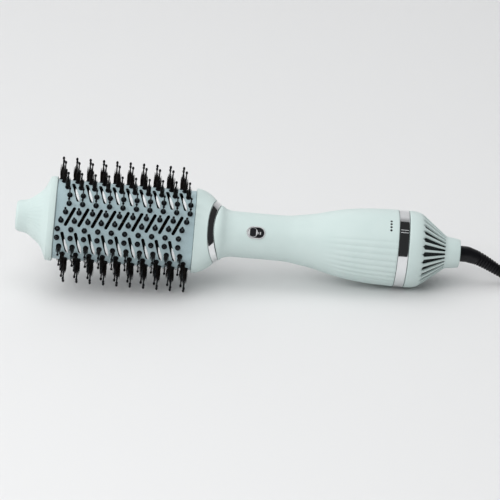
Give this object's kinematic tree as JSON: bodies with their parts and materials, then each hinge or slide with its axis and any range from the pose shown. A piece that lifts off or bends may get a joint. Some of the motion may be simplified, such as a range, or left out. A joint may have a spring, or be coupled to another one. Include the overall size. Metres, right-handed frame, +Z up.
{
  "type": "hot air brush",
  "caption": "Oval hot air styling brush with vented barrel, ball-tipped bristles, waisted handle, slide switch, selector ring, rear air intake and swivel mains cord.",
  "frame": {"origin": "centre of the lying brush, without its cord, on the surface that it rests on", "axes": "+X along the brush from its nose to its cord, +Z up, -Y the side that the switch looks to"},
  "size_m": [0.5717, 0.1124, 0.1052],
  "materials": {
    "mint_shell": "satin moulded",
    "barrel_coating": "satin ceramic coating",
    "bristle_nylon": "satin",
    "chrome": "polished",
    "black_plastic": "satin",
    "white_plastic": "satin",
    "mica": "satin",
    "heater_alloy": "drawn",
    "bright_metal": "brushed",
    "circuit_board": "solder mask",
    "contact_brass": "plain",
    "screen_mesh": "woven",
    "cord_rubber": "satin"
  },
  "bodies": {
    "cord_set": {"swivel_rotor": "black_plastic", "slip_rings": "contact_brass", "strain_relief": "cord_rubber", "cord_lead": "cord_rubber", "cord_coil": "cord_rubber", "cord_tail": "cord_rubber", "cord_tie": "black_plastic", "plug_body": "black_plastic", "plug_pins": "bright_metal"},
    "brush": {"nose_cap": "mint_shell", "front_bulkhead": "black_plastic", "barrel_sleeve": "barrel_coating", "rear_bulkhead": "black_plastic", "air_guide": "black_plastic", "mica_boards": "mica", "heater_wire": "heater_alloy", "thermal_cutouts": "bright_metal", "shoulder": "mint_shell", "front_ring": "chrome", "handle_front": "mint_shell", "handle_back": "mint_shell", "handle_screws": "bright_metal", "switch_bezel": "chrome", "switch_body": "black_plastic", "control_board": "circuit_board", "ion_emitter": "black_plastic", "fan_duct": "black_plastic", "motor": "bright_metal", "selector_board": "circuit_board", "tail_grille": "mint_shell", "intake_screen": "screen_mesh", "bristle_strip_1": "bristle_nylon", "bristle_strip_2": "bristle_nylon", "bristle_strip_3": "bristle_nylon", "bristle_strip_4": "bristle_nylon", "bristle_strip_5": "bristle_nylon", "bristle_strip_6": "bristle_nylon", "bristle_strip_7": "bristle_nylon", "bristle_strip_8": "bristle_nylon", "bristle_strip_9": "bristle_nylon", "bristle_strip_10": "bristle_nylon", "bristle_strip_11": "bristle_nylon", "bristle_strip_12": "bristle_nylon", "bristle_strip_13": "bristle_nylon", "bristle_strip_14": "bristle_nylon", "bristle_strip_15": "bristle_nylon", "bristle_strip_16": "bristle_nylon", "bristle_strip_17": "bristle_nylon", "bristle_strip_18": "bristle_nylon", "bristle_strip_19": "bristle_nylon", "bristle_strip_20": "bristle_nylon", "bristle_strip_21": "bristle_nylon", "bristle_strip_22": "bristle_nylon", "bristle_strip_23": "bristle_nylon", "bristle_strip_24": "bristle_nylon"},
    "switch": {"switch_knob": "black_plastic"},
    "fan": {"motor_shaft": "bright_metal", "impeller": "white_plastic"},
    "selector": {"selector_ring": "chrome", "selector_wiper": "contact_brass"}
  },
  "joints": [
    {"name": "cord_swivel", "type": "hinge", "parent": "cord_set", "child": "brush", "pos_m": [0.17098, 0, 0.02759], "axis": [0.9955, 0, -0.0943], "continuous": true},
    {"name": "switch_slide", "type": "slide", "parent": "brush", "child": "switch", "axis": [0.9955, 0, -0.0943], "range_m": [0, 0.0049]},
    {"name": "fan_spin", "type": "hinge", "parent": "brush", "child": "fan", "pos_m": [0.10129, 0, 0.0342], "axis": [0.9955, 0, -0.0943], "continuous": true},
    {"name": "selector_turn", "type": "hinge", "parent": "brush", "child": "selector", "pos_m": [0.13016, 0, 0.03146], "axis": [-0.9955, 0, 0.0943], "range_deg": [0, 16.2]}
  ]
}
